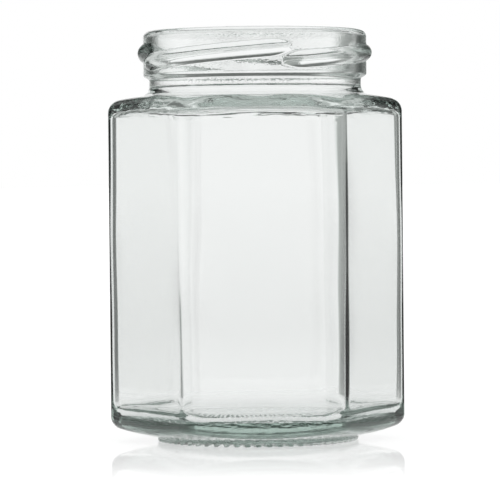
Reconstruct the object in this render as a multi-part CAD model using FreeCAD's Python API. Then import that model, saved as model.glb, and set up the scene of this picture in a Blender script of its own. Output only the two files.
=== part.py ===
"""Hexagonal glass preserving jar, empty and open: one moulded piece of clear glass.

Frame: +Z up, origin at the centre of the standing ring's underside, millimetres.
Two opposite corners of the hexagon lie on the X axis, so a flat side faces -Y.
"""
import FreeCAD
import Part
import math
import os

NODE = "jar"
SIDES = 6

# Overall sizes: the finish sets the neck, and the body stands out from it by the ledge
TOTAL_HEIGHT = 106.8
RIM_DIAMETER = 58.3
SHOULDER_LEDGE = 5.05
CORNER_RADIUS = 7.0

# Glass thickness
WALL = 2.2
INNER_CORNER_RADIUS = 6.2
FLOOR_AT_AXIS = 4.4
FLOOR_DROP = 0.6
SHOULDER_THICKNESS = 3.0
RIM_WALL = 2.5
GROOVE_WALL = 1.45

# Neck finish, measured down from the rim
RIM_FLAT = 0.1
RIM_INNER_ROUND = 0.6
FINISH_HEIGHT = 11.8
FINISH_UNDER_ROUND = 1.1
UNDERCUT_SLOPE_DEG = 30.0
GROOVE_DEPTH = 1.5
GROOVE_HEIGHT = 3.9
GROOVE_TOP_ROUND = 0.55
NECK_ROOT_ROUND = 2.6
INNER_NECK_ROUND = 3.0

# Thread lugs, which climb the finish to the right
LUG_COUNT = 4
LUG_HEIGHT = 1.45
LUG_WIDTH = 4.0
LUG_LEAD = 14.0
LUG_SPAN_DEG = 95.0
LUG_FIRST_START_DEG = 281.0
LUG_START_ABOVE_FINISH_BOTTOM = 3.0
LUG_LEAD_IN_DEG = 12.0
LUG_RUN_OUT_DEG = 12.0
LUG_END_WIDTH = 2.0
LUG_ROOT_DEPTH = 0.5
LUG_END_DEPTH = 0.2
LUG_SECTIONS = 24

# Shoulder and heel
SHOULDER_SLOPE_DEG = 9.0
SHOULDER_ROUND = 3.5
INNER_SHOULDER_ROUND = 2.0
HEEL_SLOPE_DEG = 12.0
HEEL_ROUND = 3.2
INNER_HEEL_ROUND = 4.2

# Standing ring and the hollow under the floor
RING_INSET = 7.8
RING_DEPTH = 1.35
RING_DRAFT_DEG = 25.0
RING_ROUND = 1.0
RING_TOP_ROUND = 1.0
FOOT_WIDTH = 1.9
HOLLOW_DEPTH = 2.6
HOLLOW_CROWN = 0.4
HOLLOW_SIDE_DEG = 40.0
HOLLOW_ROUND = 3.2

# Gripping bars moulded round the edge of the standing ring
BAR_PITCH = 2.84
BAR_WIDTH = 0.9
BAR_LENGTH = 3.2
BAR_HEIGHT = 0.9
BAR_SLANT_DEG = 38.0

# Sizes that follow from those above
ACROSS_FLATS = RIM_DIAMETER + 2 * SHOULDER_LEDGE
INNER_FLATS = ACROSS_FLATS - 2 * WALL
RIM_RADIUS = RIM_DIAMETER / 2
MOUTH_RADIUS = RIM_RADIUS - RIM_WALL
RIM_OUTER_ROUND = RIM_WALL - RIM_FLAT - RIM_INNER_ROUND
GROOVE_RADIUS = RIM_RADIUS - GROOVE_DEPTH
THROAT_RADIUS = GROOVE_RADIUS - GROOVE_WALL
RING_RADIUS = ACROSS_FLATS / 2 - RING_INSET
FINISH_BOTTOM = TOTAL_HEIGHT - FINISH_HEIGHT
GROOVE_TOP = FINISH_BOTTOM - GROOVE_DEPTH * math.tan(math.radians(UNDERCUT_SLOPE_DEG))
NECK_ROOT = GROOVE_TOP - GROOVE_HEIGHT
INNER_NECK_ROOT = NECK_ROOT - SHOULDER_THICKNESS
FLOOR_TOP = HOLLOW_DEPTH + FLOOR_AT_AXIS
MIDDLE_HEIGHT = TOTAL_HEIGHT / 2

# Working margins: turned profiles run out to REACH, past the hexagon's corners
REACH = ACROSS_FLATS
SAME_PLACE = 1e-6
NEARLY_AT_WALL = 0.98


def rise(run, slope_deg):
    """Height gained over a run at a slope."""
    return run * math.tan(math.radians(slope_deg))


def rounded_wire(corners):
    """Closed wire in the XZ plane through (radius, height, rounding) corners."""
    points = [FreeCAD.Vector(r, 0, z) for r, z, _ in corners]
    count = len(points)
    ends = []
    edges = []
    for i, (point, corner) in enumerate(zip(points, corners)):
        rounding = corner[2]
        if rounding == 0:
            ends.append((point, point))
            continue
        before = (points[i - 1] - point).normalize()
        after = (points[(i + 1) % count] - point).normalize()
        half_angle = before.getAngle(after) / 2
        setback = rounding / math.tan(half_angle)
        centre = point + (before + after).normalize() * (rounding / math.sin(half_angle))
        middle = centre + (point - centre).normalize() * rounding
        start = point + before * setback
        end = point + after * setback
        ends.append((start, end))
        edges.append(Part.Arc(start, middle, end).toShape())
    for i in range(count):
        start = ends[i][1]
        end = ends[(i + 1) % count][0]
        if (end - start).Length > SAME_PLACE:
            edges.append(Part.LineSegment(start, end).toShape())
    return Part.Wire(Part.__sortEdges__(edges))


def turned(corners):
    """Solid of revolution about Z from (radius, height, rounding) corners."""
    face = Part.Face(rounded_wire(corners))
    return face.revolve(FreeCAD.Vector(0, 0, 0), FreeCAD.Vector(0, 0, 1), 360)


def hexagonal_bar(across_flats, corner_radius):
    """Upright hexagonal bar with rounded corners, two on the X axis, longer than the jar."""
    corner_reach = across_flats / 2 / math.cos(math.pi / SIDES)
    bottom = -REACH
    height = TOTAL_HEIGHT + 2 * REACH
    points = []
    for i in range(SIDES + 1):
        angle = 2 * math.pi * i / SIDES
        points.append(FreeCAD.Vector(corner_reach * math.cos(angle), corner_reach * math.sin(angle), bottom))
    prism = Part.Face(Part.makePolygon(points)).extrude(FreeCAD.Vector(0, 0, height))
    uprights = [edge for edge in prism.Edges if abs(edge.BoundBox.ZLength - height) < SAME_PLACE]
    return prism.makeFillet(corner_radius, uprights)


def rounded_at_wall_ends(form, across_flats, heel_round, shoulder_round):
    """The form with its side walls rounded into the heel below and the shoulder above."""
    for rounding, low, high in (
        (heel_round, 0, MIDDLE_HEIGHT),
        (shoulder_round, MIDDLE_HEIGHT, TOTAL_HEIGHT),
    ):
        wall_ends = []
        for edge in form.Edges:
            box = edge.BoundBox
            middle = edge.valueAt((edge.FirstParameter + edge.LastParameter) / 2)
            in_range = box.ZMin > low and box.ZMax < high and box.ZLength < (high - low) / 2
            if in_range and math.hypot(middle.x, middle.y) > across_flats / 2 * NEARLY_AT_WALL:
                wall_ends.append(edge)
        form = form.makeFillet(rounding, wall_ends)
    return form


def outer_form():
    """The outside of the jar as a full solid: ring, heel, body, shoulder and neck."""
    foot_outer = RING_RADIUS - rise(RING_DEPTH, RING_DRAFT_DEG)
    foot_inner = foot_outer - FOOT_WIDTH - 2 * RING_ROUND
    hollow_side_top = HOLLOW_DEPTH - HOLLOW_CROWN
    hollow_edge = foot_inner - hollow_side_top / rise(1, HOLLOW_SIDE_DEG)
    envelope = turned([
        (0, HOLLOW_DEPTH, 0),
        (hollow_edge, hollow_side_top, HOLLOW_ROUND),
        (foot_inner, 0, RING_ROUND),
        (foot_outer, 0, RING_ROUND),
        (RING_RADIUS, RING_DEPTH, RING_TOP_ROUND),
        (REACH, RING_DEPTH + rise(REACH - RING_RADIUS, HEEL_SLOPE_DEG), 0),
        (REACH, NECK_ROOT - rise(REACH - GROOVE_RADIUS, SHOULDER_SLOPE_DEG), 0),
        (GROOVE_RADIUS, NECK_ROOT, NECK_ROOT_ROUND),
        (GROOVE_RADIUS, GROOVE_TOP, GROOVE_TOP_ROUND),
        (RIM_RADIUS, FINISH_BOTTOM, FINISH_UNDER_ROUND),
        (RIM_RADIUS, TOTAL_HEIGHT, RIM_OUTER_ROUND),
        (0, TOTAL_HEIGHT, 0),
    ])
    form = envelope.common(hexagonal_bar(ACROSS_FLATS, CORNER_RADIUS))
    return rounded_at_wall_ends(form, ACROSS_FLATS, HEEL_ROUND, SHOULDER_ROUND)


def cavity():
    """The inside of the jar, from its floor up through the mouth."""
    bore_taper = (MOUTH_RADIUS - THROAT_RADIUS) / (TOTAL_HEIGHT - INNER_NECK_ROOT)
    above_rim = TOTAL_HEIGHT + RIM_RADIUS
    envelope = turned([
        (0, FLOOR_TOP, 0),
        (REACH, FLOOR_TOP - FLOOR_DROP * REACH / (INNER_FLATS / 2), 0),
        (REACH, INNER_NECK_ROOT - rise(REACH - THROAT_RADIUS, SHOULDER_SLOPE_DEG), 0),
        (THROAT_RADIUS, INNER_NECK_ROOT, INNER_NECK_ROUND),
        (MOUTH_RADIUS + RIM_RADIUS * bore_taper, above_rim, 0),
        (0, above_rim, 0),
    ])
    form = envelope.common(hexagonal_bar(INNER_FLATS, INNER_CORNER_RADIUS))
    return rounded_at_wall_ends(form, INNER_FLATS, INNER_HEEL_ROUND, INNER_SHOULDER_ROUND)


def lug(start_deg):
    """One thread lug: an oval bead that climbs the finish and dies out at both ends."""
    buried = RIM_RADIUS - LUG_ROOT_DEPTH
    end_reach = LUG_ROOT_DEPTH - LUG_END_DEPTH
    full_reach = LUG_ROOT_DEPTH + LUG_HEIGHT
    upward = FreeCAD.Vector(0, 0, 1)
    sections = []
    for i in range(LUG_SECTIONS + 1):
        turn = LUG_SPAN_DEG * i / LUG_SECTIONS
        nearness = min(1.0, turn / LUG_LEAD_IN_DEG, (LUG_SPAN_DEG - turn) / LUG_RUN_OUT_DEG)
        swell = math.sin(nearness * math.pi / 2)
        angle = math.radians(start_deg + turn)
        height = FINISH_BOTTOM + LUG_START_ABOVE_FINISH_BOTTOM + LUG_LEAD * turn / 360
        reach = end_reach + (full_reach - end_reach) * swell
        half_width = (LUG_END_WIDTH + (LUG_WIDTH - LUG_END_WIDTH) * swell) / 2
        outward = FreeCAD.Vector(math.cos(angle), math.sin(angle), 0)
        centre = outward * buried + upward * height
        side = centre + upward * half_width
        crest = centre + outward * reach
        oval = Part.Ellipse(side, crest, centre) if half_width >= reach else Part.Ellipse(crest, side, centre)
        sections.append(Part.Wire(oval.toShape()))
    return Part.makeLoft(sections, True, False)


def gripping_bars():
    """Short slanted bars round the outer edge of the standing ring, flush with its foot."""
    foot_outer = RING_RADIUS - rise(RING_DEPTH, RING_DRAFT_DEG)
    slant = math.radians(BAR_SLANT_DEG)
    half_spread = (BAR_LENGTH * math.cos(slant) + BAR_WIDTH * math.sin(slant)) / 2
    count = round(2 * math.pi * RING_RADIUS / BAR_PITCH)
    corner = FreeCAD.Vector(-BAR_LENGTH / 2, -BAR_WIDTH / 2, 0)
    origin = FreeCAD.Vector(0, 0, 0)
    upward = FreeCAD.Vector(0, 0, 1)
    bars = []
    for i in range(count):
        bar = Part.makeBox(BAR_LENGTH, BAR_WIDTH, BAR_HEIGHT, corner)
        bar.rotate(origin, upward, BAR_SLANT_DEG)
        bar.translate(FreeCAD.Vector(foot_outer - half_spread, 0, 0))
        bar.rotate(origin, upward, 360 * i / count)
        bars.append(bar)
    return bars


def jar():
    """The whole jar: outside less inside, a rounded mouth, thread lugs and gripping bars."""
    glass = outer_form().cut(cavity())
    rim_circles = [edge for edge in glass.Edges if abs(edge.BoundBox.ZMin - TOTAL_HEIGHT) < SAME_PLACE]
    mouth_edges = [edge for edge in rim_circles if abs(edge.Curve.Radius - MOUTH_RADIUS) < SAME_PLACE]
    glass = glass.makeFillet(RIM_INNER_ROUND, mouth_edges)
    for i in range(LUG_COUNT):
        glass = glass.fuse(lug(LUG_FIRST_START_DEG + 360 * i / LUG_COUNT))
    return glass.fuse(gripping_bars()).removeSplitter()


def main():
    shape = jar()
    solids = shape.Solids
    box = shape.optimalBoundingBox()
    print("solids", len(solids), "valid", shape.isValid(), "closed", all(s.isClosed() for s in solids))
    print("size %.2f x %.2f x %.2f" % (box.XLength, box.YLength, box.ZLength))
    print("glass %.2f cm3" % (shape.Volume / 1000))
    os.makedirs("parts", exist_ok=True)
    solids[0].exportStep(os.path.join("parts", NODE + ".step"))


main()
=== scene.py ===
import math
import bmesh
import bpy
from mathutils import Matrix, Vector


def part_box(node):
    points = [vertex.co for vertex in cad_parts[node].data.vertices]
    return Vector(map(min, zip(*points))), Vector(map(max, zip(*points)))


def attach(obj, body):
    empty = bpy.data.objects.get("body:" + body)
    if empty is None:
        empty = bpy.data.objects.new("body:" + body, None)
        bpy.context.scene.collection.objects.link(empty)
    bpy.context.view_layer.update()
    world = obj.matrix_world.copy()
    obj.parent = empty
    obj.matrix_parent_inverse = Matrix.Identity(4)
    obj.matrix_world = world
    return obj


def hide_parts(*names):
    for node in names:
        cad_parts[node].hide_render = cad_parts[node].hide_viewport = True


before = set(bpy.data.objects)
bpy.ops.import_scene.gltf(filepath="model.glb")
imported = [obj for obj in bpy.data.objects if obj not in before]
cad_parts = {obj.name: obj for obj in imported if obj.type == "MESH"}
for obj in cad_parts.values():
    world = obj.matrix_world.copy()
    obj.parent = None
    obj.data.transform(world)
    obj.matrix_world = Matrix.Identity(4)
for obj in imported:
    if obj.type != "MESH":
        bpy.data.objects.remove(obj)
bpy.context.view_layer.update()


# ---- Glass jar: body -------------------------------------------------------------------------
# The six flat sides of the jar with their rounded corners, from the sloped heel up to the shoulder.
# Soda-lime glass, blown out against a two-part mould, so the outside is smooth and even.
jar_top_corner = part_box("jar")[1]
SIDES = 6
SECTOR = math.pi / SIDES
HEIGHT = jar_top_corner.z
FLAT_REACH = jar_top_corner.y
CORNER_ROUND = 0.0070
CORNER_COLUMNS = 22
SIDE_COLUMNS = 26
HEEL_SLOPE_STEPS = 4
HEEL_STEPS = 12
SIDE_STEPS = 14
SHOULDER_STEPS = 14
SHOULDER_SLOPE_STEPS = 3

HEEL_OVERHANG = 0.0078
RING_REACH = FLAT_REACH - HEEL_OVERHANG
RING_DEPTH = 0.00135
HEEL_SLOPE = math.radians(12)
HEEL_ROUND = 0.0032
# Each band stops a little short of the next, and the gap is bridged when all are made.
RING_TO_BODY = 0.0022
BODY_STARTS_AT = RING_REACH + RING_TO_BODY

FINISH_REACH = 0.02915
FINISH_HEIGHT = 0.0118
FINISH_UNDERSIDE = 0.00087
GROOVE_DEPTH = 0.0015
GROOVE_HEIGHT = 0.0039
GROOVE_REACH = FINISH_REACH - GROOVE_DEPTH
FINISH_BOTTOM = HEIGHT - FINISH_HEIGHT
GROOVE_TOP = FINISH_BOTTOM - FINISH_UNDERSIDE
NECK_ROOT = GROOVE_TOP - GROOVE_HEIGHT
NECK_ROOT_ROUND = 0.0026
SHOULDER_SLOPE = math.radians(9)
SHOULDER_ROUND = 0.0035
NECK_TO_BODY = 0.0004
BODY_ENDS_AT = GROOVE_REACH + NECK_ROOT_ROUND + NECK_TO_BODY


def hexagon_reach(turn, flat_reach, corner_round):
    """How far a rounded hexagon reaches from the axis at an angle."""
    off_corner = abs((turn + SECTOR) % (2 * SECTOR) - SECTOR)
    corner_centre = (flat_reach - corner_round) / math.cos(SECTOR)
    arc_end = math.atan2(corner_round * math.sin(SECTOR), corner_centre + corner_round * math.cos(SECTOR))
    if off_corner > arc_end:
        return flat_reach / math.cos(SECTOR - off_corner)
    across = corner_centre * math.sin(off_corner)
    return corner_centre * math.cos(off_corner) + math.sqrt(corner_round ** 2 - across ** 2)


def hexagon_turns(flat_reach, corner_round):
    """Angles of the columns round a hexagon: close together at a corner, wider along a side."""
    corner_centre = (flat_reach - corner_round) / math.cos(SECTOR)
    arc_end = math.atan2(corner_round * math.sin(SECTOR), corner_centre + corner_round * math.cos(SECTOR))
    turns = []
    for side in range(SIDES):
        corner = 2 * SECTOR * side
        for i in range(CORNER_COLUMNS):
            lean = SECTOR * (2 * i / CORNER_COLUMNS - 1)
            turns.append(corner + math.atan2(corner_round * math.sin(lean),
                                             corner_centre + corner_round * math.cos(lean)))
        for i in range(SIDE_COLUMNS):
            turns.append(corner + arc_end + (2 * SECTOR - 2 * arc_end) * i / SIDE_COLUMNS)
    return turns + [turns[0] + 2 * math.pi]


def on_slope(start, reach, slope):
    """The place at a reach on a slope that starts at another place."""
    return (reach, start[1] + (reach - start[0]) * math.tan(slope))


def run(start, end, steps):
    """Points between two places in the (reach, height) plane, without the two ends."""
    return [(start[0] + (end[0] - start[0]) * i / steps, start[1] + (end[1] - start[1]) * i / steps)
            for i in range(1, steps)]


def corner_arc(before, corner, after, radius, steps):
    """Points on the arc that rounds the corner between two straight runs, both ends included."""
    here = Vector(corner)
    back = (Vector(before) - here).normalized()
    on = (Vector(after) - here).normalized()
    half = back.angle(on) / 2
    centre = here + (back + on).normalized() * (radius / math.sin(half))
    first = here + back * (radius / math.tan(half)) - centre
    last = here + on * (radius / math.tan(half)) - centre
    start = math.atan2(first.y, first.x)
    sweep = (math.atan2(last.y, last.x) - start + math.pi) % (2 * math.pi) - math.pi
    angles = [start + sweep * i / steps for i in range(steps + 1)]
    return [(centre.x + radius * math.cos(angle), centre.y + radius * math.sin(angle)) for angle in angles]


def rolled(name, turns, outline):
    """A flat grid rolled once round the axis, each column laid along the outline at its angle."""
    outlines = [outline(turn) for turn in turns]
    rows = len(outlines[0])
    bpy.ops.object.select_all(action="DESELECT")
    bpy.ops.mesh.primitive_grid_add(x_subdivisions=len(turns) - 1, y_subdivisions=rows - 1, size=1)
    band = bpy.context.object
    band.name = name
    for vertex in band.data.vertices:
        column = round((vertex.co.x + 0.5) * (len(turns) - 1))
        row = round((vertex.co.y + 0.5) * (rows - 1))
        reach, height = outlines[column][row]
        vertex.co = (reach * math.cos(turns[column]), reach * math.sin(turns[column]), height)
    return band


def body_outline(turn):
    """Up the outside of the body at an angle: heel slope, heel, side, shoulder and its slope."""
    wall = hexagon_reach(turn, FLAT_REACH, CORNER_ROUND)
    ring_top = (RING_REACH, RING_DEPTH)
    neck_root = (GROOVE_REACH, NECK_ROOT)
    start = on_slope(ring_top, BODY_STARTS_AT, HEEL_SLOPE)
    heel = on_slope(ring_top, wall, HEEL_SLOPE)
    shoulder = on_slope(neck_root, wall, -SHOULDER_SLOPE)
    end = on_slope(neck_root, BODY_ENDS_AT, -SHOULDER_SLOPE)
    heel_arc = corner_arc(start, heel, shoulder, HEEL_ROUND, HEEL_STEPS)
    shoulder_arc = corner_arc(heel, shoulder, end, SHOULDER_ROUND, SHOULDER_STEPS)
    return ([start] + run(start, heel_arc[0], HEEL_SLOPE_STEPS) + heel_arc
            + run(heel_arc[-1], shoulder_arc[0], SIDE_STEPS) + shoulder_arc
            + run(shoulder_arc[-1], end, SHOULDER_SLOPE_STEPS) + [end])


body = rolled("body", hexagon_turns(FLAT_REACH, CORNER_ROUND), body_outline)


# ---- Glass jar: neck -------------------------------------------------------------------------
# The round neck that takes a twist-off lid: a groove, the finish with its rounded rim, and the bore.
# It is pressed first, while the glass is hottest, and so its edges are the crispest on the jar.
RIM_WALL = 0.0025
RIM_FLAT = 0.0001
RIM_INNER_ROUND = 0.0006
RIM_OUTER_ROUND = RIM_WALL - RIM_FLAT - RIM_INNER_ROUND
MOUTH_REACH = FINISH_REACH - RIM_WALL
GROOVE_WALL = 0.00145
THROAT_REACH = GROOVE_REACH - GROOVE_WALL
FINISH_UNDER_ROUND = 0.0011
GROOVE_TOP_ROUND = 0.00055
INNER_NECK_ROUND = 0.0030
INNER_ROOT_DROP = 0.0030
INNER_NECK_ROOT = NECK_ROOT - INNER_ROOT_DROP
INNER_SLOPE_LENGTH = 0.01
NECK_COLUMNS = 360
NECK_ROOT_STEPS = 8
GROOVE_STEPS = 3
GROOVE_TOP_STEPS = 4
FINISH_UNDER_STEPS = 6
FINISH_ROWS = 48
RIM_OUTER_STEPS = 12
RIM_INNER_STEPS = 8
BORE_STEPS = 8
INNER_NECK_STEPS = 8

# The lugs stand on the finish: four beads that climb to the right, blunt at both ends.
LUGS = 4
LUG_HEIGHT = 0.00145
LUG_HALF_WIDTH = 0.0022
LUG_END_WIDTH = 0.45
LUG_FULLNESS = 0.85
LUG_LEAD = 0.0140
LUG_SPAN = 95
LUG_FIRST_START = 281
LUG_STARTS_ABOVE = 0.0030
LUG_LEAD_IN = 12
LUG_RUN_OUT = 12


def lug_height(turn, height):
    """How far the lugs stand out from the finish at an angle and a height."""
    tallest = 0
    for lug in range(LUGS):
        along = (math.degrees(turn) - LUG_FIRST_START - 360 * lug / LUGS) % 360
        if along > LUG_SPAN:
            continue
        swell = math.sin(min(1, along / LUG_LEAD_IN, (LUG_SPAN - along) / LUG_RUN_OUT) * math.pi / 2)
        middle = FINISH_BOTTOM + LUG_STARTS_ABOVE + LUG_LEAD * along / 360
        half_width = LUG_HALF_WIDTH * (LUG_END_WIDTH + (1 - LUG_END_WIDTH) * swell)
        off_middle = (height - middle) / half_width
        if abs(off_middle) < 1:
            tallest = max(tallest, LUG_HEIGHT * swell * (1 - off_middle ** 2) ** LUG_FULLNESS)
    return tallest


def neck_outline(turn):
    """Up the outside of the neck, over the rim and down the bore."""
    root = (GROOVE_REACH, NECK_ROOT)
    shoulder = on_slope(root, BODY_ENDS_AT, -SHOULDER_SLOPE)
    groove_top = (GROOVE_REACH, GROOVE_TOP)
    under = (FINISH_REACH, FINISH_BOTTOM)
    rim = (FINISH_REACH, HEIGHT)
    mouth = (MOUTH_REACH, HEIGHT)
    inner_root = (THROAT_REACH, INNER_NECK_ROOT)
    inner_shoulder = on_slope(inner_root, THROAT_REACH + INNER_SLOPE_LENGTH, -SHOULDER_SLOPE)
    root_arc = corner_arc(shoulder, root, groove_top, NECK_ROOT_ROUND, NECK_ROOT_STEPS)
    groove_arc = corner_arc(root, groove_top, under, GROOVE_TOP_ROUND, GROOVE_TOP_STEPS)
    under_arc = corner_arc(groove_top, under, rim, FINISH_UNDER_ROUND, FINISH_UNDER_STEPS)
    rim_arc = corner_arc(under, rim, mouth, RIM_OUTER_ROUND, RIM_OUTER_STEPS)
    mouth_arc = corner_arc(rim, mouth, inner_root, RIM_INNER_ROUND, RIM_INNER_STEPS)
    inner_arc = corner_arc(mouth, inner_root, inner_shoulder, INNER_NECK_ROUND, INNER_NECK_STEPS)
    face = [under_arc[-1]] + run(under_arc[-1], rim_arc[0], FINISH_ROWS) + [rim_arc[0]]
    face = [(reach + lug_height(turn, height), height) for reach, height in face]
    return (root_arc + run(root_arc[-1], groove_arc[0], GROOVE_STEPS) + groove_arc + under_arc[:-1] + face
            + rim_arc[1:] + mouth_arc + run(mouth_arc[-1], inner_arc[0], BORE_STEPS) + inner_arc)


def even_turns(columns):
    """Angles of evenly spaced columns, all the way round."""
    return [2 * math.pi * i / columns for i in range(columns + 1)]


neck = rolled("neck", even_turns(NECK_COLUMNS), neck_outline)


# ---- Glass jar: inside -----------------------------------------------------------------------
# The inside of the body, which no mould touches: it follows the outside with softer corners, and the
# glass gathers at the floor and the shoulder. Half way down, the corners are thinner and waver a
# little. Low down, the two front ones are sharper.
WALL = 0.0022
INNER_REACH = FLAT_REACH - WALL
INNER_CORNER_ROUND = 0.0066
FRONT = math.radians(270)
FRONT_SPREAD = math.radians(60)
FRONT_CORNER_TIGHTENS = 0.0016
TIGHTENS_LATE = 1.7
HEEL_FADE = 8
INNER_SHOULDER_ROUND = 0.0020
INNER_HEEL_ROUND = 0.0042
HOLLOW_DEPTH = 0.0026
BASE_THICKNESS = 0.0044
FLOOR_TOP = HOLLOW_DEPTH + BASE_THICKNESS
FLOOR_DROP = 0.0006
FLOOR_SLOPE = math.atan2(FLOOR_DROP, INNER_REACH)
NEAR_AXIS = 0.001
THROAT_TO_INSIDE = 0.0003
INSIDE_STARTS_AT = THROAT_REACH + INNER_NECK_ROUND + THROAT_TO_INSIDE
INNER_SLOPE_STEPS = 3
INNER_SHOULDER_STEPS = 12
INSIDE_ROWS = 28
INNER_HEEL_STEPS = 16
FLOOR_STEPS = 10
WAIST = 0.00028
WANDER = 0.00012
WANDER_LENGTH = 0.042


def inside_outline(turn):
    """Down the inside at an angle: under the shoulder, down the side and in over the floor."""
    wall = hexagon_reach(turn, INNER_REACH, INNER_CORNER_ROUND)
    neck_root = (THROAT_REACH, INNER_NECK_ROOT)
    middle = (0.0, FLOOR_TOP)
    start = on_slope(neck_root, INSIDE_STARTS_AT, -SHOULDER_SLOPE)
    shoulder = on_slope(neck_root, wall, -SHOULDER_SLOPE)
    heel = on_slope(middle, wall, -FLOOR_SLOPE)
    near_middle = on_slope(middle, NEAR_AXIS, -FLOOR_SLOPE)
    shoulder_arc = corner_arc(start, shoulder, heel, INNER_SHOULDER_ROUND, INNER_SHOULDER_STEPS)
    heel_arc = corner_arc(shoulder, heel, middle, INNER_HEEL_ROUND, INNER_HEEL_STEPS)
    side = [shoulder_arc[-1]] + run(shoulder_arc[-1], heel_arc[0], INSIDE_ROWS) + [heel_arc[0]]
    tightens = FRONT_CORNER_TIGHTENS if abs(turn - FRONT) < FRONT_SPREAD else 0
    further = hexagon_reach(turn, INNER_REACH, INNER_CORNER_ROUND - tightens) - wall
    at_corner = (wall - INNER_REACH) / (hexagon_reach(0, INNER_REACH, INNER_CORNER_ROUND) - INNER_REACH)
    outline = [start] + run(start, shoulder_arc[0], INNER_SLOPE_STEPS) + shoulder_arc[:-1]
    for i, (reach, height) in enumerate(side):
        down = i / (len(side) - 1)
        wave = WAIST + WANDER * math.sin(2 * math.pi * height / WANDER_LENGTH + 2 * turn)
        thinner = at_corner ** 2 * wave * math.sin(math.pi * down)
        outline.append((reach + further * down ** TIGHTENS_LATE + thinner, height))
    outline += [(reach + further * (reach / wall) ** HEEL_FADE, height) for reach, height in heel_arc[1:]]
    return outline + run(heel_arc[-1], near_middle, FLOOR_STEPS) + [near_middle, middle]


inside = rolled("inside", hexagon_turns(INNER_REACH, INNER_CORNER_ROUND), inside_outline)


# ---- Glass jar: standing ring ----------------------------------------------------------------
# The round ring that the jar stands on, with short slanted gripping bars moulded round its edge,
# and the shallow hollow inside it that lifts the middle of the floor clear of a table.
FOOT_ROUND = 0.0004
FOOT_INNER_ROUND = 0.0008
FOOT_WIDTH = 0.0039
RING_TOP_ROUND = 0.0010
RING_DRAFT = math.radians(25)
FOOT_OUTER = RING_REACH - RING_DEPTH * math.tan(RING_DRAFT)
FOOT_INNER = FOOT_OUTER - FOOT_WIDTH
FOOT_TO_RING = 0.0004
RING_STARTS_AT = FOOT_INNER - FOOT_TO_RING
BODY_TO_RING = 0.0005
RING_ENDS_AT = BODY_STARTS_AT - BODY_TO_RING
HOLLOW_SLOPE = math.radians(40)
HOLLOW_DOME = 0.0004
HOLLOW_SIDE_TOP = HOLLOW_DEPTH - HOLLOW_DOME
HOLLOW_EDGE = FOOT_INNER - HOLLOW_SIDE_TOP / math.tan(HOLLOW_SLOPE)
HOLLOW_ROUND = 0.0032
FOOT_TO_HOLLOW = 0.0011
HOLLOW_ENDS_AT = FOOT_INNER - FOOT_TO_HOLLOW
BAR_PITCH = 0.00284
BARS = round(2 * math.pi * RING_REACH / BAR_PITCH)
BAR_SHARE = 0.44
BAR_EDGE = 0.14
BAR_LEAN = 0.55
BAR_HEIGHT = 0.00075
BAR_STANDS_OUT = 0.00025
BAR_FADES_IN = 0.001
COLUMNS_PER_BAR = 16
HOLLOW_COLUMNS_PER_BAR = 3
FOOT_INNER_STEPS = 5
FOOT_STEPS = 4
FOOT_EDGE_STEPS = 6
RING_SIDE_STEPS = 3
RING_TOP_STEPS = 5
HOLLOW_STEPS = 6
HOLLOW_EDGE_STEPS = 8


def bar(turn, lean):
    """1 on a gripping bar, 0 between two of them, easing from one to the other."""
    off_bar = abs((turn / (2 * math.pi) * BARS - BAR_LEAN * lean) % 1 - 0.5)
    ease = min(1, max(0, (BAR_SHARE / 2 + BAR_EDGE / 2 - off_bar) / BAR_EDGE))
    return ease * ease * (3 - 2 * ease)


def ring_outline(turn):
    """Out under the standing ring and up its edge to the heel's slope."""
    inner = (FOOT_INNER, 0)
    outer = (FOOT_OUTER, 0)
    top = (RING_REACH, RING_DEPTH)
    hollow_side = on_slope(inner, RING_STARTS_AT, -HOLLOW_SLOPE)
    end = on_slope(top, RING_ENDS_AT, HEEL_SLOPE)
    inner_arc = corner_arc(hollow_side, inner, outer, FOOT_INNER_ROUND, FOOT_INNER_STEPS)
    edge_arc = corner_arc(inner, outer, top, FOOT_ROUND, FOOT_EDGE_STEPS)
    top_arc = corner_arc(outer, top, end, RING_TOP_ROUND, RING_TOP_STEPS)
    foot = (inner_arc + run(inner_arc[-1], edge_arc[0], FOOT_STEPS) + edge_arc
            + run(edge_arc[-1], top_arc[0], RING_SIDE_STEPS))
    outline = []
    for reach, height in foot:
        share = bar(turn, (reach - FOOT_INNER) / (FOOT_OUTER - FOOT_INNER) + height / RING_DEPTH)
        fade = min(1, max(0, (reach - FOOT_INNER) / BAR_FADES_IN)) * (1 - height / RING_DEPTH)
        outline.append((reach + BAR_STANDS_OUT * share * fade, max(height, BAR_HEIGHT * (1 - share))))
    return outline + top_arc + [end]


def hollow_outline(turn):
    """Out from the axis over the hollow and down its side."""
    middle = (0.0, HOLLOW_DEPTH)
    near_middle = (NEAR_AXIS, HOLLOW_DEPTH)
    edge = (HOLLOW_EDGE, HOLLOW_SIDE_TOP)
    foot = (FOOT_INNER, 0)
    edge_arc = corner_arc(middle, edge, foot, HOLLOW_ROUND, HOLLOW_EDGE_STEPS)
    end = on_slope(foot, HOLLOW_ENDS_AT, -HOLLOW_SLOPE)
    return [middle, near_middle] + run(near_middle, edge_arc[0], HOLLOW_STEPS) + edge_arc + [end]


ring = rolled("ring", even_turns(BARS * COLUMNS_PER_BAR), ring_outline)
hollow = rolled("hollow", even_turns(BARS * HOLLOW_COLUMNS_PER_BAR), hollow_outline)


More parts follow.
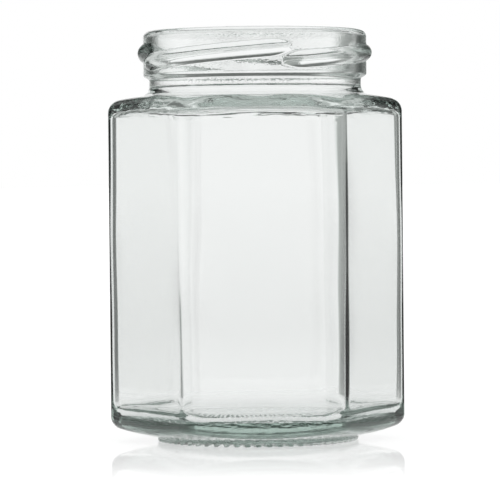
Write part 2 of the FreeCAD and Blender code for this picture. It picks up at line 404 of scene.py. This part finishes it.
# ---- Glass jar: one piece --------------------------------------------------------------------
# A jar is a single piece of glass with one skin all over it, inside and out. So the five bands are
# joined, each band's seam is welded, and the gaps between them are bridged with triangles.
WELD = 1e-7
bpy.ops.object.select_all(action="DESELECT")
for band in (hollow, ring, body, neck, inside):
    band.select_set(True)
bpy.context.view_layer.objects.active = body
bpy.ops.object.join()
glass = body
glass.name = "glass_jar"
bpy.ops.object.mode_set(mode="EDIT")
bpy.ops.mesh.select_all(action="SELECT")
bpy.ops.mesh.remove_doubles(threshold=WELD)
skin = bmesh.from_edit_mesh(glass.data)


def open_loops():
    """The skin's open edges, as loops of vertices."""
    edges = {edge for edge in skin.edges if edge.is_boundary}
    found = []
    while edges:
        edge = edges.pop()
        loop = [edge.verts[0], edge.verts[1]]
        while True:
            following = [e for e in loop[-1].link_edges if e in edges]
            if not following:
                break
            edges.remove(following[0])
            loop.append(following[0].other_vert(loop[-1]))
        found.append(loop[:-1])
    return found


loops = open_loops()


def loop_near(place):
    """The open loop nearest to a place in the (reach, height) plane."""
    def gap(loop):
        return math.hypot(math.hypot(loop[0].co.x, loop[0].co.y) - place[0], loop[0].co.z - place[1])
    return min(loops, key=gap)


def by_angle(loop):
    """A loop's angles and vertices in order round the axis, with the first again at the end."""
    turns = sorted(((math.atan2(v.co.y, v.co.x) % (2 * math.pi), v) for v in loop), key=lambda pair: pair[0])
    return turns + [(turns[0][0] + 2 * math.pi, turns[0][1])]


def bridge(end_of, start_of):
    """Closes the gap between one outline's end and another's start with a strip of triangles."""
    low = by_angle(loop_near(end_of(0)[-1]))
    high = by_angle(loop_near(start_of(0)[0]))
    i = 0
    j = 0
    while i < len(low) - 1 or j < len(high) - 1:
        low_next = low[i + 1][0] if i < len(low) - 1 else math.inf
        high_next = high[j + 1][0] if j < len(high) - 1 else math.inf
        if low_next <= high_next:
            skin.faces.new((low[i][1], low[i + 1][1], high[j][1]))
            i += 1
        else:
            skin.faces.new((low[i][1], high[j + 1][1], high[j][1]))
            j += 1


bridge(hollow_outline, ring_outline)
bridge(ring_outline, body_outline)
bridge(body_outline, neck_outline)
bridge(neck_outline, inside_outline)
bmesh.update_edit_mesh(glass.data)
bpy.ops.mesh.select_all(action="SELECT")
bpy.ops.mesh.normals_make_consistent(inside=False)
bpy.ops.mesh.faces_shade_smooth()
bpy.ops.object.mode_set(mode="OBJECT")

# The glass itself: clear soda-lime with the faint grey-green of its iron. The base is rippled where it
# chilled on the mould, the shoulder is streaked, the neck has a fine peel, and the sides hardly wave.
GLASS_IOR = 1.52
TINT = (0.60, 0.70, 0.66, 1)
TINT_DENSITY = 36
FLATTENING = (1, 1, 4)
BASE_RIPPLE_TOP = 0.0105
BASE_RIPPLE_FULL = 0.0065
CHILL_SIZE = 0.0026
CHILL_DETAIL = 3
CHILL_DEPTH = 0.00007
SHOULDER_FROM = 0.082
SHOULDER_FULL_FROM = 0.086
SHOULDER_FULL_TO = 0.0900
SHOULDER_TO = 0.0925
STREAK_SIZE = 0.006
STREAK_DETAIL = 1
STREAK_DEPTH = 0.00015
PEEL_FROM = 0.086
PEEL_FULL_FROM = 0.092
PEEL_SIZE = 0.00045
PEEL_DETAIL = 1
PEEL_DEPTH = 0.000009
WAVE_SIZE = 0.011
WAVE_DETAIL = 0
WAVE_DEPTH = 0.00001


def put(kind, **inputs):
    """Adds a node to the current material or world and sets or links its inputs by name or number."""
    node = nodes.new(kind)
    for name, value in inputs.items():
        socket = node.inputs[int(name[1:])] if name[0] == "_" else node.inputs[name.replace("_", " ")]
        if isinstance(value, bpy.types.NodeSocket):
            links.new(value, socket)
        else:
            socket.default_value = value
    return node


def maths(operation, *values):
    """A Math node on sockets or plain numbers."""
    node = put("ShaderNodeMath", **{"_%d" % i: value for i, value in enumerate(values)})
    node.operation = operation
    return node.outputs[0]


def relief_of(vector, size, detail, depth):
    """Lumps of about a size, up to half a depth above and below the surface."""
    lumps = put("ShaderNodeTexNoise", Vector=vector, Scale=1 / size, Detail=detail)
    return maths("MULTIPLY", maths("SUBTRACT", lumps.outputs["Fac"], 0.5), depth)


def between(value, start, end, first=0.0, last=1.0, smooth=True):
    """A first value up to the start and a last one from the end on, with the way between them."""
    node = put("ShaderNodeMapRange", _0=value, _1=start, _2=end, _3=first, _4=last)
    node.interpolation_type = "SMOOTHSTEP" if smooth else "LINEAR"
    return node.outputs[0]


clear_glass = bpy.data.materials.new("clear_glass")
clear_glass.use_nodes = True
nodes = clear_glass.node_tree.nodes
links = clear_glass.node_tree.links
nodes.clear()
place = put("ShaderNodeTexCoord").outputs["Object"]
height = put("ShaderNodeSeparateXYZ", _0=place).outputs["Z"]
flattened = put("ShaderNodeVectorMath", _0=place, _1=FLATTENING)
flattened.operation = "MULTIPLY"
in_base = between(height, BASE_RIPPLE_TOP, BASE_RIPPLE_FULL)
in_shoulder = maths("MULTIPLY", between(height, SHOULDER_FROM, SHOULDER_FULL_FROM),
                    between(height, SHOULDER_TO, SHOULDER_FULL_TO))
in_neck = between(height, PEEL_FROM, PEEL_FULL_FROM)
chill = relief_of(flattened.outputs[0], CHILL_SIZE, CHILL_DETAIL, maths("MULTIPLY", in_base, CHILL_DEPTH))
streaks = relief_of(flattened.outputs[0], STREAK_SIZE, STREAK_DETAIL,
                    maths("MULTIPLY", in_shoulder, STREAK_DEPTH))
peel = relief_of(place, PEEL_SIZE, PEEL_DETAIL, maths("MULTIPLY", in_neck, PEEL_DEPTH))
wave = relief_of(place, WAVE_SIZE, WAVE_DETAIL, WAVE_DEPTH)
relief = maths("ADD", maths("ADD", wave, streaks), maths("ADD", chill, peel))
bump = put("ShaderNodeBump", Strength=1.0, Distance=1.0, Height=relief)
surface = put("ShaderNodeBsdfPrincipled", Base_Color=(1, 1, 1, 1), Roughness=0.0, IOR=GLASS_IOR,
              Transmission_Weight=1.0, Normal=bump.outputs[0])
tint = put("ShaderNodeVolumeAbsorption", Color=TINT, Density=TINT_DENSITY)
put("ShaderNodeOutputMaterial", Surface=surface.outputs[0], Volume=tint.outputs[0])
glass.data.materials.clear()
glass.data.materials.append(clear_glass)
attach(glass, "root")
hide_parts("jar")


# ---- Floor -----------------------------------------------------------------------------------
# A sheet of polished white acrylic, wide enough to be the whole background below eye level.
# It is white under the soft light, and its polish mirrors what stands on it, fading with distance.
FLOOR_REACH = 40
FLOOR_CORNERS = 96
FLOOR_WHITE = 0.5
FLOOR_LIFT = 0.74
FLOOR_POLISH = 0.01
ACRYLIC_IOR = 1.49
REFLECTION_SHARE = 0.6
REFLECTION_FULL_TO = 0.045
REFLECTION_GONE_AT = 0.15
# Seen through or in the glass, the sheet glows less than in plain view, and least far off, and its
# polish mirrors only at a low angle.
GLOW_NEAR = 0.6
GLOW_FAR = 0.42
GLOW_FULL_TO = 0.3
GLOW_FAR_FROM = 0.6
MIRROR_FROM = 0.1
MIRROR_FULL = 1.0
# Outside a wedge that opens towards the backdrop the sheet takes painted shade: black is mixed in where the
# glass sees it at a low angle, so from there the glass bends in darkness.
PAINTED_SHADE_SHARE = 0.8
PAINTED_SHADE_LEAN = 0.25
PAINTED_SHADE_EDGE = 0.01
PAINTED_SHADE_FULL = 0.03
LOW_ANGLE_FROM = 0.45
LOW_ANGLE_FULL = 0.7
bpy.ops.object.select_all(action="DESELECT")
bpy.ops.mesh.primitive_circle_add(vertices=FLOOR_CORNERS, radius=FLOOR_REACH, fill_type="NGON")
floor = bpy.context.object
floor.name = "floor"
white_acrylic = bpy.data.materials.new("white_acrylic")
white_acrylic.use_nodes = True
nodes = white_acrylic.node_tree.nodes
links = white_acrylic.node_tree.links
nodes.clear()
path = put("ShaderNodeLightPath")
bent = maths("MAXIMUM", path.outputs["Is Glossy Ray"], path.outputs["Is Transmission Ray"])
place = put("ShaderNodeTexCoord").outputs["Object"]
axes = put("ShaderNodeSeparateXYZ", _0=place)
length = put("ShaderNodeVectorMath", _0=place)
length.operation = "LENGTH"
away = length.outputs["Value"]
fresnel = put("ShaderNodeFresnel", IOR=ACRYLIC_IOR).outputs[0]
glow = between(away, GLOW_FULL_TO, GLOW_FAR_FROM, GLOW_NEAR, GLOW_FAR, smooth=False)
lift = maths("MULTIPLY", path.outputs["Is Camera Ray"], FLOOR_LIFT)
lift = maths("ADD", lift, maths("MULTIPLY", bent, glow))
sheet = put("ShaderNodeBsdfDiffuse", Color=(FLOOR_WHITE, FLOOR_WHITE, FLOOR_WHITE, 1))
lifted = put("ShaderNodeEmission", Color=(1, 1, 1, 1), Strength=lift)
white = put("ShaderNodeAddShader", _0=sheet.outputs[0], _1=lifted.outputs[0])
# Painted shade: outside the wedge, black is mixed into the sheet for rays seen in or through the glass.
beside = maths("SUBTRACT", maths("ABSOLUTE", axes.outputs["X"]),
               maths("MULTIPLY", axes.outputs["Y"], PAINTED_SHADE_LEAN))
painted_shade = maths("MULTIPLY", between(beside, PAINTED_SHADE_EDGE, PAINTED_SHADE_FULL, smooth=False),
                between(fresnel, LOW_ANGLE_FROM, LOW_ANGLE_FULL, smooth=False))
painted_shade = maths("MULTIPLY", maths("MULTIPLY", bent, PAINTED_SHADE_SHARE), painted_shade)
black = put("ShaderNodeBsdfDiffuse", Color=(0, 0, 0, 1))
sheet_with_painted_shade = put("ShaderNodeMixShader", _0=painted_shade, _1=white.outputs[0], _2=black.outputs[0])
mirror = put("ShaderNodeBsdfGlossy", Color=(1, 1, 1, 1), Roughness=FLOOR_POLISH)
near = between(away, REFLECTION_FULL_TO, REFLECTION_GONE_AT, REFLECTION_SHARE, 0.0)
in_plain_view = maths("MULTIPLY", fresnel, near)
in_the_glass = between(fresnel, MIRROR_FROM, MIRROR_FULL, smooth=False)
share = put("ShaderNodeMix", _0=bent, _2=in_plain_view, _3=in_the_glass)
polished = put("ShaderNodeMixShader", _0=share.outputs[0], _1=sheet_with_painted_shade.outputs[0], _2=mirror.outputs[0])
put("ShaderNodeOutputMaterial", Surface=polished.outputs[0])
floor.data.materials.append(white_acrylic)


# ---- Light and background --------------------------------------------------------------------
# A light tent, as for any clear glass: a white backdrop straight behind the jar, dark gaps beside it and
# beside the camera, soft white sides and top. What is seen straight through is white, and what the glass
# bends in from the gaps is dark, which draws its edges. The floor gets the same soft light all over.
PLAIN_LIGHT = 0.8
BACKDROP_CENTRE = math.radians(-1.5)
# Degrees off the middle of the backdrop, and how bright the tent is there.
ROUND_THE_TENT = [(0, 1.0), (12.4, 1.0), (13.4, 0.36), (17, 0.28), (22, 0.12), (46, 0.08), (56, 0.68),
                  (70, 0.68), (78, 1.0), (102, 1.0), (110, 0.6), (130, 0.6), (140, 0.1), (166, 0.1),
                  (172, 0.6), (180, 0.6)]
TENT_TOP = math.radians(21)
DARK_ABOVE = math.radians(27)
OVER_THE_BACKDROP = 0.12
OVER_THE_SIDES = 0.6
BACKDROP_SIDE = math.radians(18)
SIDES_FROM = math.radians(30)
TOP_LIGHT = 0.45
TOP_LIGHT_FROM = math.radians(50)
TOP_LIGHT_FULL = math.radians(58)
HALF_TURN = 180
ANY_BOUNCE = 0.5
GAP_COLOUR = (0.91, 1, 0.94, 1)
world = bpy.data.worlds.new("studio")
bpy.context.scene.world = world
world.use_nodes = True
nodes = world.node_tree.nodes
links = world.node_tree.links
nodes.clear()
direction = put("ShaderNodeSeparateXYZ", _0=put("ShaderNodeTexCoord").outputs["Generated"])
azimuth = maths("ARCTAN2", direction.outputs["X"], direction.outputs["Y"])
off_back = maths("ABSOLUTE", maths("WRAP", maths("SUBTRACT", azimuth, BACKDROP_CENTRE), math.pi, -math.pi))
above = maths("ARCSINE", direction.outputs["Z"])
tent = put("ShaderNodeFloatCurve", Value=maths("DIVIDE", off_back, math.pi))
curve = tent.mapping.curves[0]
for angle, brightness in ROUND_THE_TENT[1:-1]:
    curve.points.new(angle / HALF_TURN, brightness)
curve.points[0].location = (0, ROUND_THE_TENT[0][1])
curve.points[-1].location = (1, ROUND_THE_TENT[-1][1])
for point in curve.points:
    point.handle_type = "VECTOR"
tent.mapping.update()
over = between(off_back, BACKDROP_SIDE, SIDES_FROM, OVER_THE_BACKDROP, OVER_THE_SIDES, smooth=False)
top = between(above, TOP_LIGHT_FROM, TOP_LIGHT_FULL, 0.0, TOP_LIGHT, smooth=False)
over_the_tent = between(above, TENT_TOP, DARK_ABOVE, smooth=False)
level = put("ShaderNodeMix", _0=over_the_tent, _2=tent.outputs[0], _3=maths("MAXIMUM", over, top)).outputs[0]
cast = put("ShaderNodeMix", _0=level, _6=GAP_COLOUR, _7=(1, 1, 1, 1))
cast.data_type = "RGBA"
studio = put("ShaderNodeBackground", Color=cast.outputs[2], Strength=level)
soft = put("ShaderNodeBackground", Color=(1, 1, 1, 1), Strength=PLAIN_LIGHT)
plain = put("ShaderNodeBackground", Color=(1, 1, 1, 1), Strength=1.0)
path = put("ShaderNodeLightPath")
from_floor = maths("GREATER_THAN", path.outputs["Diffuse Depth"], ANY_BOUNCE)
lit = put("ShaderNodeMixShader", _0=from_floor, _1=studio.outputs[0], _2=soft.outputs[0])
seen = put("ShaderNodeMixShader", _0=path.outputs["Is Camera Ray"], _1=lit.outputs[0], _2=plain.outputs[0])
put("ShaderNodeOutputWorld", Surface=seen.outputs[0])


# ---- Camera ----------------------------------------------------------------------------------
# A long lens a short way off, nearly two thirds of the way up the jar, a little to its left and aimed
# slightly down. The glass needs many bounces, since a ray crosses the walls and the base again and again.
CAMERA_DISTANCE = 0.86
CAMERA_HEIGHT = 0.0676
CAMERA_TURN = math.radians(-3.0)
CAMERA_DIP = math.radians(-1.2)
CAMERA_ROLL = math.radians(-0.55)
CAMERA_LENS = 237
CAMERA_SENSOR = 36
CAMERA_SHIFT = -0.013
CAMERA_CLIP_START = 0.01
BOUNCES = 24
GLOSSY_BOUNCES = 12
camera_data = bpy.data.cameras.new("camera")
camera_data.sensor_width = CAMERA_SENSOR
camera_data.lens = CAMERA_LENS
camera_data.clip_start = CAMERA_CLIP_START
camera_data.shift_x = CAMERA_SHIFT
camera = bpy.data.objects.new("camera", camera_data)
bpy.context.scene.collection.objects.link(camera)
spot = Vector((math.sin(CAMERA_TURN), -math.cos(CAMERA_TURN), 0)) * CAMERA_DISTANCE
spot.z = CAMERA_HEIGHT
camera.matrix_world = (Matrix.Translation(spot) @ Matrix.Rotation(CAMERA_TURN, 4, "Z")
                       @ Matrix.Rotation(math.radians(90) + CAMERA_DIP, 4, "X")
                       @ Matrix.Rotation(CAMERA_ROLL, 4, "Z"))
bpy.context.scene.camera = camera
bpy.context.scene.view_settings.view_transform = "Standard"
bpy.context.scene.cycles.max_bounces = BOUNCES
bpy.context.scene.cycles.transmission_bounces = BOUNCES
bpy.context.scene.cycles.glossy_bounces = GLOSSY_BOUNCES
